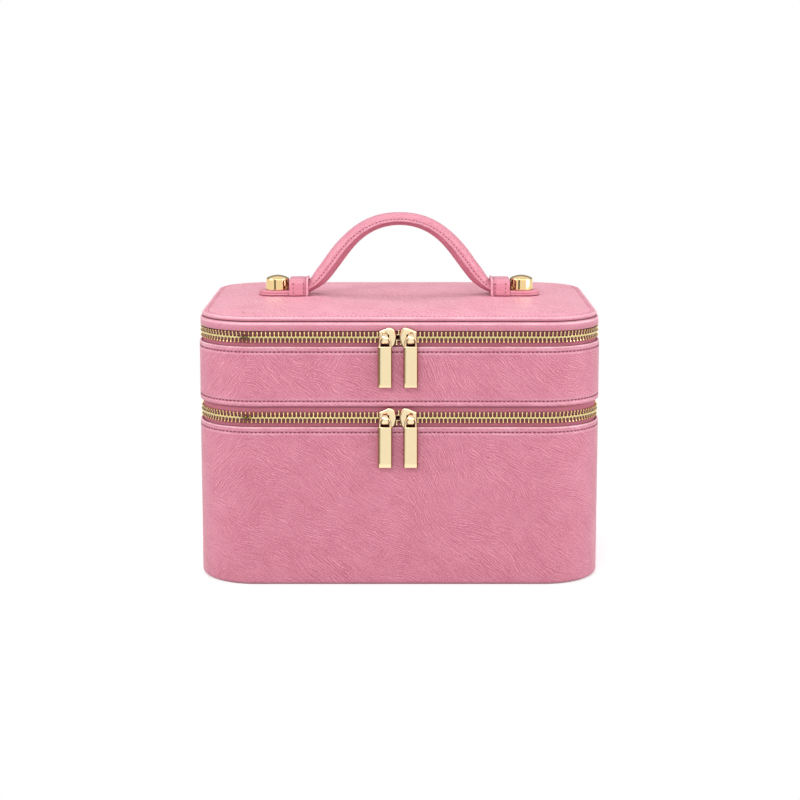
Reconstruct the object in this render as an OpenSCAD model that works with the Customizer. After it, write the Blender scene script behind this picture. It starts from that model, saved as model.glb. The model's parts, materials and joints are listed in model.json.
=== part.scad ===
// Two-layer vanity case: a deep lower case, a shallow tray and a padded lid, closed by two zips
// that run round the front and sides, with a leather strip as the hinge across the back.
// Millimetres. The origin is the middle of the base where it stands; the front faces -Y.

/* [Case] */
// Width over the leather walls
case_w = 230; // [215:1:260]
// Depth, front to back
case_d = 165; // [145:1:190]
// Radius of the upright corners, seen from above
corner_r = 33; // [28:1:36]
// Radius of the edge that the case stands on
base_edge_r = 2; // [1.5:0.5:3]
// Height of the lower case's leather wall
lower_h = 91.5; // [70:0.5:120]
// Height of the tray's leather wall
tray_h = 34; // [26:0.5:60]

/* [Layers] */
// Thickness of the leather skin
leather_t = 1.6; // [1.2:0.1:1.8]
// Thickness of the foam and of the zip tape behind the leather
foam_t = 0.8; // [0.6:0.1:0.9]
// Thickness of the stiff board in the walls
board_t = 2; // [1.8:0.1:2.4]
// Thickness of the cloth lining
lining_t = 0.8; // [0.6:0.1:1]

/* [Zips] */
// Height of a zip's centre above the leather edge below it
zip_rise = 5.6; // [5.3:0.1:6.2]
// Height from the lower zip's centre to the tray's leather
tray_gap = 6.2; // [5.6:0.1:7]
// Height from the upper zip's centre to the lid's side wall
lid_gap = 3.2; // [3.2:0.1:4]
// Width of a closed row of teeth
chain_w = 6.4; // [5.8:0.1:6.4]
// Step from one tooth to the next in the same row
tooth_pitch = 2.4; // [2:0.1:3]
// Half the length of the leather hinge strip across the back
hinge_half_w = 72; // [60:1:78]
// Distance of the parked sliders from each other, centre to centre
slider_spacing = 11.6; // [11.5:0.1:20]
// Place of the parked pair, to the left of the middle
slider_shift = -0.9; // [-3:0.1:3]
// Length of a slider along its zip
slider_l = 9.9; // [9:0.1:11]
// Width of a pull
pull_w = 7.1; // [6:0.1:8]
// Length of a pull below its pivot
pull_l = 27.3; // [18:0.1:30]

/* [Lid] */
// Height of the lid's side wall
gusset_h = 5.1; // [4.4:0.1:8]
// Diameter of the piping round the top edge
piping_d = 2.6; // [2:0.1:3]
// Height of the padded top above the side wall
crown_h = 5; // [4:0.1:7]
// Width of the sloping rim of the padded top
crown_rim = 14; // [10:1:16]
// Width of the mirror inside the lid
mirror_w = 150; // [100:1:160]
// Height of the mirror inside the lid
mirror_d = 104; // [60:1:110]

/* [Handle] */
// Height of the handle's top above the lid
handle_rise = 49.5; // [44:0.5:50]
// Half the span between the handle's feet
handle_half_span = 60.5; // [58:0.5:61]
// Distance of each stud from the middle
stud_x = 73.2; // [72.8:0.1:76]
// Diameter of a stud cap
stud_d = 13.7; // [10:0.1:14.4]
// Height of a stud cap
stud_h = 8.6; // [7:0.1:10]
// Thickness of the tabs under the studs
tab_t = 3.1; // [2.5:0.1:3.5]
// Width of the tabs, front to back
tab_w = 17; // [15:0.5:17]

/* [Hidden] */
$fn = 96;

// Colours of the materials
pink = [0.86, 0.55, 0.62];
gold = [0.93, 0.79, 0.52];
tape = [0.70, 0.36, 0.43];
lining = [0.93, 0.78, 0.80];
board = [0.55, 0.52, 0.50];
foam = [0.94, 0.92, 0.86];
steel = [0.72, 0.73, 0.75];

// Depths below the outline, from the outside in
tape_in = leather_t;
board_in = tape_in + foam_t;
lining_in = board_in + board_t;
room_in = lining_in + lining_t;

// Heights
lower_zip_z = lower_h + zip_rise;
tray_z = lower_zip_z + tray_gap;
tray_top = tray_z + tray_h;
upper_zip_z = tray_top + zip_rise;
lid_z = upper_zip_z + lid_gap;
gusset_top = lid_z + gusset_h;
lid_top = gusset_top + crown_h;
floor_t = 2.5;
base_lining_t = 1;
rim_drop = 0.2;
seam_overlap = 8;

// Centres of the corner arcs
corner_x = case_w / 2 - corner_r;
corner_y = case_d / 2 - corner_r;

// Teeth: a row is inset from the outline and stops short of the zip's centre
teeth_out = 0.6;
teeth_in = 3;
tooth_depth = 0.9;
tooth_l = 1;
row_gap = 0.3;
row_reach = chain_w / 2;
arc_steps = 8;
teeth_r = corner_r - teeth_out;
arc_l = teeth_r * PI / 2;
zip_end = 2 * corner_x + 2 * corner_y + 2 * arc_l - hinge_half_w;
row_teeth = floor(2 * zip_end / tooth_pitch) - 1;

// Slider and pull
slider_h = 11.2;
slider_tail_h = 8;
shoulder_r = 2.2;
nose_r = 1.3;
tail_r = 1;
plate_t = 1.1;
front_plate_in = -0.2;
back_plate_in = teeth_in + 0.2;
back_plate_h = 10.2;
back_plate_t = 1;
post_l = 2.4;
post_h = 0.4;
eye_r = 2.7;
eye_bore_r = 1.5;
eye_w = 3.6;
eye_gap = 0.1;
eye_drop = 1;
eye_shift = 1.4;
pull_t = 1.4;
pull_pin_r = 1.2;
pull_slot_w = 4.6;
pull_slot_l = 3.9;
pull_corner_r = 1;
eye_y = -(case_d / 2 - front_plate_in + plate_t + eye_bore_r + eye_gap);

// Lid layers below the side wall's top
lid_board_t = 1.9;
inner_foam_t = 1.2;
lid_lining_t = 0.8;
mirror_t = 2;
mirror_r = 8;
piping_in = 1.5;
crown_in = piping_in + piping_d;
crown_skin = 1.2;
crown_steps = 6;

// Handle
screw_r = 1.5;
screw_hole_r = 1.6;
screw_head_r = 3.5;
screw_head_t = 0.7;
washer_r = 5.5;
washer_t = 0.5;
washer_hole_r = 6;
stud_dome_h = 2.5;
stud_thread_depth = 5;
keeper_x = [54.4, 65.9];
keeper_t = 1;
keeper_w = 19.4;
keeper_h = 10.1;
keeper_flange = [1.6, 0.7];
tab_end_x = 84.3;
tab_start_x = handle_half_span;
foot_z = lid_top + 3.4;
top_pull_x = 37;
foot_pull_x = 41;
grip_steps = 36;
grip_sides = 16;
grip_power = 2.5;
grip_skin = 1.5;
// Along half the handle: place, thickness and width of the roll
roll_at = [0, 0.3, 0.5, 0.72, 0.86, 1];
roll_t = [7.5, 8.8, 10, 9.6, 6.4, 6.2];
roll_w = [16.5, 15.5, 14, 14, 15.6, 16];
handle_z = lid_top + handle_rise - roll_t[0] / 2;

// The case's outline, drawn in by a depth
module outline(depth) {
    r = corner_r - depth;
    square([2 * corner_x, case_d - 2 * depth], center = true);
    square([case_w - 2 * depth, 2 * corner_y], center = true);
    for (x = [-1, 1], y = [-1, 1])
        translate([x * corner_x, y * corner_y]) circle(r);
}

// A flat layer that fills the outline
module layer(depth, z0, z1) {
    translate([0, 0, z0]) linear_extrude(z1 - z0) outline(depth);
}

// A wall between two depths
module wall(outer, inner, z0, z1) {
    difference() {
        layer(outer, z0, z1);
        layer(inner, z0 - 1, z1 + 1);
    }
}

// Carries a profile round the outline; its x runs outwards from the corner centres
module rim_sweep() {
    for (q = [0:3])
        translate([(q == 0 || q == 3) ? corner_x : -corner_x, q < 2 ? corner_y : -corner_y, 0])
            rotate(90 * q) rotate_extrude(angle = 90) children();
    for (side = [0, 1]) {
        rotate(180 * side) translate([corner_x, corner_y, 0])
            rotate([90, 0, 0]) linear_extrude(2 * corner_y) children();
        rotate(180 * side) translate([-corner_x, corner_y, 0])
            rotate([0, 0, 90]) rotate([90, 0, 0]) linear_extrude(2 * corner_x) children();
    }
}

// The stretch of the back wall that the hinge strip takes
module hinge_space(z0, z1, slack = 0) {
    translate([-hinge_half_w + slack, case_d / 2 - corner_r / 2, z0])
        cube([2 * (hinge_half_w - slack), corner_r, z1 - z0]);
}

// A point of the rim, s along it from the middle of the front, drawn in by a depth
function rim_side(a, depth) =
    let (r = corner_r - depth, turn = 180 / PI / teeth_r)
    let (a1 = corner_x, a2 = a1 + arc_l, a3 = a2 + 2 * corner_y, a4 = a3 + arc_l)
    a <= a1 ? [a, -corner_y - r] :
    a <= a2 ? [corner_x + r * sin((a - a1) * turn), -corner_y - r * cos((a - a1) * turn)] :
    a <= a3 ? [corner_x + r, -corner_y + a - a2] :
    a <= a4 ? [corner_x + r * cos((a - a3) * turn), corner_y + r * sin((a - a3) * turn)] :
    [corner_x - (a - a4), corner_y + r];
function rim_point(s, depth) =
    let (p = rim_side(abs(s), depth))
    [s < 0 ? -p[0] : p[0], p[1]];

// Places along the rim where the smooth inner side of a row needs a point
rim_marks = [
    for (i = [0:arc_steps]) corner_x + i * arc_l / arc_steps,
    for (i = [0:arc_steps]) corner_x + arc_l + 2 * corner_y + i * arc_l / arc_steps,
    zip_end
];
rim_stops = [
    for (i = [0:len(rim_marks) - 1]) rim_marks[len(rim_marks) - 1 - i],
    for (m = rim_marks) -m
];

// One row of teeth; shift moves it along the rim by a share of the pitch
module teeth_row(z0, z1, shift) {
    first = -zip_end + tooth_pitch * (0.75 + shift);
    teeth = [
        for (i = [0:row_teeth - 2])
            let (s = first + i * tooth_pitch)
            each [
                rim_point(s - tooth_l / 2, teeth_out + tooth_depth),
                rim_point(s - tooth_l / 2, teeth_out),
                rim_point(s + tooth_l / 2, teeth_out),
                rim_point(s + tooth_l / 2, teeth_out + tooth_depth)
            ]
    ];
    ends = [
        rim_point(zip_end, teeth_out + tooth_depth),
        for (s = rim_stops) rim_point(s, teeth_in),
        rim_point(-zip_end, teeth_out + tooth_depth)
    ];
    translate([0, 0, z0]) linear_extrude(z1 - z0) polygon(concat(teeth, ends));
}

module row_below(zip_z) {
    color(gold) teeth_row(zip_z - row_reach, zip_z - row_gap, 0);
}

module row_above(zip_z) {
    color(gold) teeth_row(zip_z + row_gap, zip_z + row_reach, 0.5);
}

// Half a zip's cloth tape, open across the back
module zip_tape(z0, z1) {
    color(tape) difference() {
        wall(tape_in, board_in, z0, z1);
        hinge_space(z0 - 1, z1 + 1);
    }
}

// Half the hinge strip: the part that shows, and the flange sewn behind the wall
module hinge_strip(z0, z1, flange_z0, flange_z1) {
    color(pink) {
        intersection() {
            wall(teeth_out, board_in, z0, z1);
            hinge_space(z0 - 1, z1 + 1, 0.4);
        }
        intersection() {
            wall(tape_in, board_in, flange_z0, flange_z1);
            hinge_space(flange_z0 - 1, flange_z1 + 1, 0.4);
        }
    }
}

// ---- Lower case ----
module base_leather() {
    color(pink) {
        layer(base_edge_r, 0, base_edge_r);
        rim_sweep() intersection() {
            translate([corner_r - base_edge_r, base_edge_r]) circle(base_edge_r);
            translate([corner_r - base_edge_r, 0]) square(base_edge_r);
        }
    }
}

module base_board() {
    color(board) layer(lining_in, base_edge_r, base_edge_r + floor_t);
}

module base_lining() {
    color(lining) layer(lining_in, base_edge_r + floor_t, base_edge_r + floor_t + base_lining_t);
}

module lower_wall_leather() {
    color(pink) wall(0, tape_in, base_edge_r, lower_h);
}

module lower_wall_foam() {
    color(foam) wall(tape_in, board_in, base_edge_r, lower_h - seam_overlap);
}

module lower_wall_board() {
    color(board) wall(board_in, lining_in, base_edge_r, lower_h - rim_drop - lining_t);
}

module lower_wall_lining() {
    top = lower_h - rim_drop;
    color(lining) {
        wall(lining_in, room_in, base_edge_r + floor_t + base_lining_t, top);
        wall(board_in, lining_in, top - lining_t, top);
    }
}

module lower_zip_case_tape() {
    zip_tape(lower_h - seam_overlap, lower_zip_z - row_reach);
}

module lower_zip_case_teeth() {
    row_below(lower_zip_z);
}

module tray_hinge_case_strip() {
    hinge_strip(lower_h, lower_zip_z - row_gap / 2, lower_h - seam_overlap, lower_h);
}

// ---- Tray ----
module tray_wall_leather() {
    color(pink) wall(0, tape_in, tray_z, tray_top);
}

module tray_wall_foam() {
    color(foam) wall(tape_in, board_in, tray_z + seam_overlap, tray_top - seam_overlap);
}

module tray_wall_board() {
    color(board) wall(board_in, lining_in, tray_z + lining_t, tray_top - rim_drop - lining_t);
}

module tray_wall_lining() {
    top = tray_top - rim_drop;
    color(lining) {
        wall(lining_in, room_in, tray_z + 2 * lining_t + board_t, top);
        wall(board_in, lining_in, top - lining_t, top);
    }
}

module tray_floor_board() {
    color(board) layer(lining_in, tray_z + lining_t, tray_z + lining_t + board_t);
}

module tray_floor_lining() {
    z = tray_z + lining_t + board_t;
    color(lining) layer(lining_in, z, z + lining_t);
}

module tray_under_lining() {
    color(lining) layer(board_in, tray_z, tray_z + lining_t);
}

module lower_zip_tray_tape() {
    zip_tape(lower_zip_z + row_reach, tray_z + seam_overlap);
}

module lower_zip_tray_teeth() {
    row_above(lower_zip_z);
}

module tray_hinge_tray_strip() {
    hinge_strip(lower_zip_z + row_gap / 2, tray_z, tray_z, tray_z + seam_overlap);
}

module upper_zip_tray_tape() {
    zip_tape(tray_top - seam_overlap, upper_zip_z - row_reach);
}

module upper_zip_tray_teeth() {
    row_below(upper_zip_z);
}

module lid_hinge_tray_strip() {
    hinge_strip(tray_top, upper_zip_z - row_gap / 2, tray_top - seam_overlap, tray_top);
}

// ---- Lid ----
// Holes for the two stud screws
module stud_holes(r, z0, z1) {
    for (x = [-stud_x, stud_x])
        translate([x, 0, z0]) cylinder(r = r, h = z1 - z0);
}

// The padded top: flat in the middle, falling to its edge in a quarter wave
module crown(depth, top) {
    fall = lid_top - gusset_top - piping_d / 2;
    inner_r = corner_r - crown_in - crown_rim;
    outer_r = corner_r - depth;
    slope = [
        for (i = [0:crown_steps])
            let (k = i / crown_steps)
            [inner_r + k * (outer_r - inner_r), top - fall * (1 - cos(90 * k))]
    ];
    layer(corner_r - inner_r, gusset_top, top);
    rim_sweep() polygon(concat([[outer_r, gusset_top], [inner_r, gusset_top]], slope));
}

module lid_gusset() {
    color(pink) wall(teeth_out, tape_in, lid_z, gusset_top);
}

module lid_piping() {
    color(pink) rim_sweep()
        translate([corner_r - piping_in - piping_d / 2, gusset_top + piping_d / 2])
            circle(d = piping_d);
}

module lid_top_leather() {
    color(pink) difference() {
        crown(crown_in, lid_top);
        crown(crown_in + crown_skin, lid_top - crown_skin);
        stud_holes(screw_hole_r, gusset_top, lid_top + 1);
    }
}

module lid_top_foam() {
    color(foam) difference() {
        crown(crown_in + crown_skin, lid_top - crown_skin);
        stud_holes(screw_hole_r, gusset_top - 1, lid_top);
    }
}

module lid_board() {
    color(board) difference() {
        layer(board_in, gusset_top - lid_board_t, gusset_top);
        stud_holes(screw_hole_r, lid_z, lid_top);
    }
}

module lid_inner_foam() {
    z = gusset_top - lid_board_t;
    color(foam) difference() {
        layer(room_in, z - inner_foam_t, z);
        stud_holes(washer_hole_r, z - inner_foam_t - 1, z + 1);
    }
}

module lid_lining() {
    z = gusset_top - lid_board_t - inner_foam_t;
    color(lining) layer(room_in, z - lid_lining_t, z);
}

module lid_mirror() {
    z = gusset_top - lid_board_t - inner_foam_t - lid_lining_t;
    color(steel) translate([0, 0, z - mirror_t]) linear_extrude(mirror_t) {
        square([mirror_w - 2 * mirror_r, mirror_d], center = true);
        square([mirror_w, mirror_d - 2 * mirror_r], center = true);
        for (x = [-1, 1], y = [-1, 1])
            translate([x * (mirror_w / 2 - mirror_r), y * (mirror_d / 2 - mirror_r)])
                circle(mirror_r);
    }
}

module upper_zip_lid_tape() {
    zip_tape(upper_zip_z + row_reach, gusset_top);
}

module upper_zip_lid_teeth() {
    row_above(upper_zip_z);
}

module lid_hinge_lid_strip() {
    hinge_strip(upper_zip_z + row_gap / 2, lid_z, lid_z, gusset_top);
}

// ---- Handle ----
// Half of the handle's centre line, a cubic curve from the top to a foot
function centre_x(t) = 3 * t * pow(1 - t, 2) * top_pull_x
    + 3 * pow(t, 2) * (1 - t) * foot_pull_x + pow(t, 3) * handle_half_span;
function centre_z(t) = handle_z + (foot_z - handle_z) * (3 * pow(t, 2) - 2 * pow(t, 3));
// Slope of that line, as the angle that it falls at
function centre_fall(t) =
    let (e = 0.001, t0 = max(0, t - e), t1 = min(1, t + e))
    atan2(centre_z(t0) - centre_z(t1), centre_x(t1) - centre_x(t0));

// One ring of the roll at t from -1 to 1, thinned by a skin
function roll_ring(t, skin) =
    let (a = abs(t), side = t < 0 ? -1 : 1, fall = centre_fall(a))
    let (h = lookup(a, [for (i = [0:5]) [roll_at[i], roll_t[i]]]) / 2 - skin)
    let (w = lookup(a, [for (i = [0:5]) [roll_at[i], roll_w[i]]]) / 2 - skin)
    [
        for (k = [0:grip_sides - 1])
            let (u = 360 * k / grip_sides, c = cos(u), s = sin(u))
            let (up = h * sign(s) * pow(abs(s), 2 / grip_power))
            let (out = w * sign(c) * pow(abs(c), 2 / grip_power))
            [side * (centre_x(a) + up * sin(fall)), out, centre_z(a) + up * cos(fall)]
    ];

// Triangles between the rings of a roll; turned inside out for its hollow
function roll_sides(first, inward) = [
    for (i = [0:grip_steps - 1], k = [0:grip_sides - 1])
        let (a = first + i * grip_sides + k, b = first + i * grip_sides + (k + 1) % grip_sides)
        let (c = a + grip_sides, d = b + grip_sides)
        each inward ? [[a, b, c], [b, d, c]] : [[a, c, b], [b, c, d]]
];
function roll_points(skin) = [
    for (i = [0:grip_steps]) each roll_ring(-1 + 2 * i / grip_steps, skin)
];

// The leather roll, hollow for its core
module handle_cover() {
    n = grip_sides;
    hollow = n * (grip_steps + 1);
    last = n * grip_steps;
    rims = [
        for (k = [0:n - 1])
            let (j = (k + 1) % n)
            each [
                [k, j, hollow + k], [j, hollow + j, hollow + k],
                [last + k, hollow + last + k, last + j],
                [last + j, hollow + last + k, hollow + last + j]
            ]
    ];
    color(pink) polyhedron(
        concat(roll_points(0), roll_points(grip_skin)),
        concat(roll_sides(0, false), roll_sides(hollow, true), rims)
    );
}

// The core that fills the roll
module handle_core() {
    n = grip_sides;
    ends = [
        for (k = [1:n - 2]) each [
            [0, k, k + 1],
            [n * grip_steps, n * grip_steps + k + 1, n * grip_steps + k]
        ]
    ];
    color(foam) polyhedron(roll_points(grip_skin), concat(roll_sides(0, false), ends));
}

// A tab on the right: flat leather with a round end, pierced for the stud screw
module handle_tab() {
    end_r = tab_w / 2;
    difference() {
        translate([0, 0, lid_top]) linear_extrude(tab_t) {
            translate([tab_end_x - end_r, 0]) circle(end_r);
            translate([tab_start_x, -end_r]) square([tab_end_x - end_r - tab_start_x, tab_w]);
        }
        stud_holes(screw_hole_r, lid_top - 1, lid_top + tab_t + 1);
    }
}

module handle_tab_left() {
    color(pink) mirror([1, 0, 0]) handle_tab();
}

module handle_tab_right() {
    color(pink) handle_tab();
}

// A keeper on the right: a leather bridge over the tab and the handle's foot
module keeper_loop() {
    module bridge(x0, x1, grow) {
        translate([x0, -keeper_w / 2 - grow, lid_top])
            cube([x1 - x0, keeper_w + 2 * grow, keeper_h + grow]);
    }
    difference() {
        union() {
            bridge(keeper_x[0], keeper_x[1], 0);
            bridge(keeper_x[0], keeper_x[0] + keeper_flange[0], keeper_flange[1]);
        }
        translate([keeper_x[0] - 1, -keeper_w / 2 + keeper_t, lid_top - 1])
            cube([keeper_x[1] - keeper_x[0] + 2, keeper_w - 2 * keeper_t, keeper_h - keeper_t + 1]);
    }
}

module keeper_loop_left() {
    color(pink) mirror([1, 0, 0]) keeper_loop();
}

module keeper_loop_right() {
    color(pink) keeper_loop();
}

module stud_caps() {
    z = lid_top + tab_t;
    dome_r = (pow(stud_d / 2, 2) + pow(stud_dome_h, 2)) / (2 * stud_dome_h);
    color(gold) for (x = [-stud_x, stud_x])
        translate([x, 0, z]) difference() {
            intersection() {
                cylinder(d = stud_d, h = stud_h);
                translate([0, 0, stud_h - dome_r]) sphere(dome_r);
            }
            translate([0, 0, -1]) cylinder(r = screw_r, h = stud_thread_depth + 1);
        }
}

module stud_screws() {
    z = gusset_top - lid_board_t - washer_t;
    color(steel) for (x = [-stud_x, stud_x])
        translate([x, 0, z - screw_head_t]) {
            cylinder(r = screw_head_r, h = screw_head_t);
            cylinder(r = screw_r, h = lid_top + tab_t + stud_thread_depth - z + screw_head_t);
        }
}

module stud_washers() {
    z = gusset_top - lid_board_t - washer_t;
    color(steel) for (x = [-stud_x, stud_x])
        translate([x, 0, z]) difference() {
            cylinder(r = washer_r, h = washer_t);
            translate([0, 0, -1]) cylinder(r = screw_hole_r, h = washer_t + 2);
        }
}

// ---- Zip sliders and pulls ----
left_x = slider_shift - slider_spacing / 2;
right_x = slider_shift + slider_spacing / 2;

// A slider's plate from a depth outwards: broad shoulders, a nose and a narrower tail
module plate(depth, thick, h) {
    nose_x = -slider_l / 2 + nose_r;
    shoulder_x = nose_x + shoulder_r;
    translate([0, -(case_d / 2 - depth), 0]) rotate([90, 0, 0]) linear_extrude(thick)
        hull() {
            translate([nose_x, 0]) circle(nose_r, $fn = 32);
            for (z = [-1, 1]) {
                translate([shoulder_x, z * (h / 2 - shoulder_r)]) circle(shoulder_r, $fn = 32);
                translate([slider_l / 2 - tail_r, z * (slider_tail_h / 2 - tail_r)])
                    circle(tail_r, $fn = 32);
            }
        }
}

// The right-hand slider of a pair, its nose to the left: two plates joined by a post
// between the rows, and an eye for the pull. Its channel is open above, so the row on the
// lid or the tray can lift out of it.
module slider(zip_z) {
    post_in = back_plate_in - front_plate_in;
    color(gold) translate([0, 0, zip_z]) difference() {
        union() {
            plate(front_plate_in, plate_t, slider_h);
            plate(back_plate_in + back_plate_t, back_plate_t, back_plate_h);
            translate([-slider_l / 2 + nose_r, -(case_d / 2 - front_plate_in), -post_h / 2])
                cube([post_l, post_in, post_h]);
            translate([eye_shift, eye_y, -eye_drop]) rotate([0, 90, 0])
                cylinder(r = eye_r, h = eye_w, center = true, $fn = 48);
        }
        translate([eye_shift, eye_y, -eye_drop]) rotate([0, 90, 0])
            cylinder(r = eye_bore_r, h = eye_w + 2, center = true, $fn = 48);
    }
}

module slider_left(zip_z) {
    translate([left_x, 0, 0]) mirror([1, 0, 0]) slider(zip_z);
}

module slider_right(zip_z) {
    translate([right_x, 0, 0]) slider(zip_z);
}

// A pull: a pin through the slider's eye, two cheeks and a flat bar that hangs down
module pull(x, zip_z) {
    color(gold) translate([x, eye_y, zip_z - eye_drop]) {
        rotate([0, 90, 0]) cylinder(r = pull_pin_r, h = pull_w, center = true, $fn = 32);
        for (side = [-1, 1])
            translate([side * (pull_w + pull_slot_w) / 4, 0, -pull_slot_l / 2])
                cube([(pull_w - pull_slot_w) / 2, pull_t, pull_slot_l], center = true);
        translate([-pull_w / 2, -pull_t / 2, -pull_l + pull_corner_r])
            cube([pull_w, pull_t, pull_l - pull_corner_r - pull_slot_l]);
        translate([-pull_w / 2 + pull_corner_r, -pull_t / 2, -pull_l])
            cube([pull_w - 2 * pull_corner_r, pull_t, pull_corner_r]);
        for (side = [-1, 1])
            translate([side * (pull_w / 2 - pull_corner_r), 0, -pull_l + pull_corner_r])
                rotate([90, 0, 0])
                    cylinder(r = pull_corner_r, h = pull_t, center = true, $fn = 32);
    }
}

module lower_slider_left() {
    slider_left(lower_zip_z);
}

module lower_slider_right() {
    slider_right(lower_zip_z);
}

module upper_slider_left() {
    slider_left(upper_zip_z);
}

module upper_slider_right() {
    slider_right(upper_zip_z);
}

module lower_pull_left() {
    pull(left_x - eye_shift, lower_zip_z);
}

module lower_pull_right() {
    pull(right_x + eye_shift, lower_zip_z);
}

module upper_pull_left() {
    pull(left_x - eye_shift, upper_zip_z);
}

module upper_pull_right() {
    pull(right_x + eye_shift, upper_zip_z);
}

base_leather();
base_board();
base_lining();
lower_wall_leather();
lower_wall_foam();
lower_wall_board();
lower_wall_lining();
lower_zip_case_tape();
lower_zip_case_teeth();
tray_hinge_case_strip();
tray_wall_leather();
tray_wall_foam();
tray_wall_board();
tray_wall_lining();
tray_floor_board();
tray_floor_lining();
tray_under_lining();
lower_zip_tray_tape();
lower_zip_tray_teeth();
tray_hinge_tray_strip();
upper_zip_tray_tape();
upper_zip_tray_teeth();
lid_hinge_tray_strip();
lid_gusset();
lid_piping();
lid_top_leather();
lid_top_foam();
lid_board();
lid_inner_foam();
lid_lining();
lid_mirror();
upper_zip_lid_tape();
upper_zip_lid_teeth();
lid_hinge_lid_strip();
handle_cover();
handle_core();
handle_tab_left();
handle_tab_right();
keeper_loop_left();
keeper_loop_right();
stud_caps();
stud_screws();
stud_washers();
lower_slider_left();
lower_slider_right();
upper_slider_left();
upper_slider_right();
lower_pull_left();
lower_pull_right();
upper_pull_left();
upper_pull_right();
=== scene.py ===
"""Looks of a two-layer vanity case in crinkle-grain leather: a deep lower case, a shallow tray and
a padded lid with an arched handle, closed by two gold zips. Lengths are in millimetres and turned
into metres when a mesh is made. +Z is up and the front faces -Y."""

import json
import math

import bmesh
import bpy
import numpy as np
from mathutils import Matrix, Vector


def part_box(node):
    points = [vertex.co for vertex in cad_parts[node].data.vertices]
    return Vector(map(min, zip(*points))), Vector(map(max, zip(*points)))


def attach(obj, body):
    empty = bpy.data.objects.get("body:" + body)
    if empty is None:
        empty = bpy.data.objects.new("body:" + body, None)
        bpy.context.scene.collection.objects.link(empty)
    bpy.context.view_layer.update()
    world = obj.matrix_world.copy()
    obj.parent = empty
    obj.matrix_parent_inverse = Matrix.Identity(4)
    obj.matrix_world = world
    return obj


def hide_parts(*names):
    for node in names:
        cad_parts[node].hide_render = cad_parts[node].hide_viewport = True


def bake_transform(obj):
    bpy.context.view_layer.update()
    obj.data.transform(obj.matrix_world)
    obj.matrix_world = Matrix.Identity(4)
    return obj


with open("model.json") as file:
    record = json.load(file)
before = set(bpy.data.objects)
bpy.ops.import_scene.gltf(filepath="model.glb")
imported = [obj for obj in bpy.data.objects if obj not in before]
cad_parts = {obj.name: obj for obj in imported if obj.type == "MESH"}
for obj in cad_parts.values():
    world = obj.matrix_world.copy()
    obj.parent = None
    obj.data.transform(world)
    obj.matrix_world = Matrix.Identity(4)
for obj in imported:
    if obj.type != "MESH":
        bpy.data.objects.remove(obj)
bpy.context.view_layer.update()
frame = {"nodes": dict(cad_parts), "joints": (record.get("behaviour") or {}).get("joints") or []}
scene = bpy.context.scene
PI = math.pi

# ---- Sizes that the frame gives, in mm ----


def span(node):
    """Lowest and highest corner of a CAD node, in mm."""
    return [np.array(corner) * 1000 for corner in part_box(node)]


def z_of(node):
    """Lowest and highest z of a CAD node, in mm."""
    low, high = span(node)
    return low[2], high[2]


HALF_W, HALF_D, LOWER_TOP = span("lower_wall_leather")[1]
CORNER_R = 33.0
CORNER_X, CORNER_Y = HALF_W - CORNER_R, HALF_D - CORNER_R
ARC = CORNER_R * PI / 2
LOOP = 4 * (CORNER_X + CORNER_Y + ARC)
TRAY_Z, TRAY_TOP = z_of("tray_wall_leather")
ROW_GAP = 0.3
LOWER_ZIP = z_of("lower_zip_case_teeth")[1] + ROW_GAP
UPPER_ZIP = z_of("upper_zip_tray_teeth")[1] + ROW_GAP
LID_Z, SEAM_Z = z_of("lid_gusset")
LID_TOP = z_of("lid_top_leather")[1]
HANDLE_TOP = z_of("handle_cover")[1]
HINGE_HALF = 72.0
TOOTH_PITCH = 2.4
ZIP_END = LOOP / 2 - HINGE_HALF - 1.5
STUD_X = 73.2


# ---- Shapes: points and faces, and a UV map in mm for some ----


def pack(*parts):
    """Arrays and plain numbers side by side along a last axis, as the coordinates of points are."""
    return np.stack(np.broadcast_arrays(*parts), -1)


def rim(s, depth):
    """x, y of the outline drawn in by depth, s mm along it from the middle of the front towards +X,
    with the outward direction and the direction along it: straight sides and quarter circles, whose
    angle turns from 0 at the front to half a circle at the back."""
    s = (s + LOOP / 2) % LOOP - LOOP / 2
    a, side = np.abs(s), np.where(s < 0, -1.0, 1.0)
    back = CORNER_X + 2 * ARC + 2 * CORNER_Y
    turn = (np.clip(a - CORNER_X, 0, ARC) + np.clip(a - back + ARC, 0, ARC)) / CORNER_R
    cx = np.minimum(a, CORNER_X) - np.maximum(a - back, 0)
    cy = -CORNER_Y + np.clip(a - CORNER_X - ARC, 0, 2 * CORNER_Y)
    nx, ny = np.sin(turn), -np.cos(turn)
    r = CORNER_R - depth
    return side * (cx + r * nx), cy + r * ny, (side * nx, ny), (np.cos(turn), side * np.sin(turn))


def round_the_rim(s, depth, z):
    """The profile (depth, z) carried along the outline: places along it by profile points."""
    x, y, _, _ = rim(s[:, None], np.array(depth))
    return pack(x, y, z)


def evenly(n):
    """n places evenly spaced all round the outline."""
    return np.arange(n) * LOOP / n


RIM_STEP, STITCH_PITCH = 2.0, 2.45
LOOP_S = evenly(int(round(LOOP / RIM_STEP)))
STITCH_S = evenly(int(LOOP / STITCH_PITCH))
CUT_LOOP = np.linspace(-LOOP / 2, LOOP / 2, int(LOOP / RIM_STEP) + 1)


def grid_faces(m, n, close_m=False, close_n=False):
    """Quads of an m by n grid of points, joined round where asked."""
    i = np.arange(m if close_m else m - 1)[:, None]
    j = np.arange(n if close_n else n - 1)
    a, b = i * n, (i + 1) % m * n
    return pack(a + j, b + j, b + (j + 1) % n, a + (j + 1) % n).reshape(-1, 4).tolist()


def fan(start, n, pole, closed=True):
    """Triangles from a pole to a ring of n points, the first of them start."""
    k = np.arange(n if closed else n - 1)
    return pack(start + k, start + (k + 1) % n, pole).tolist()


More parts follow.
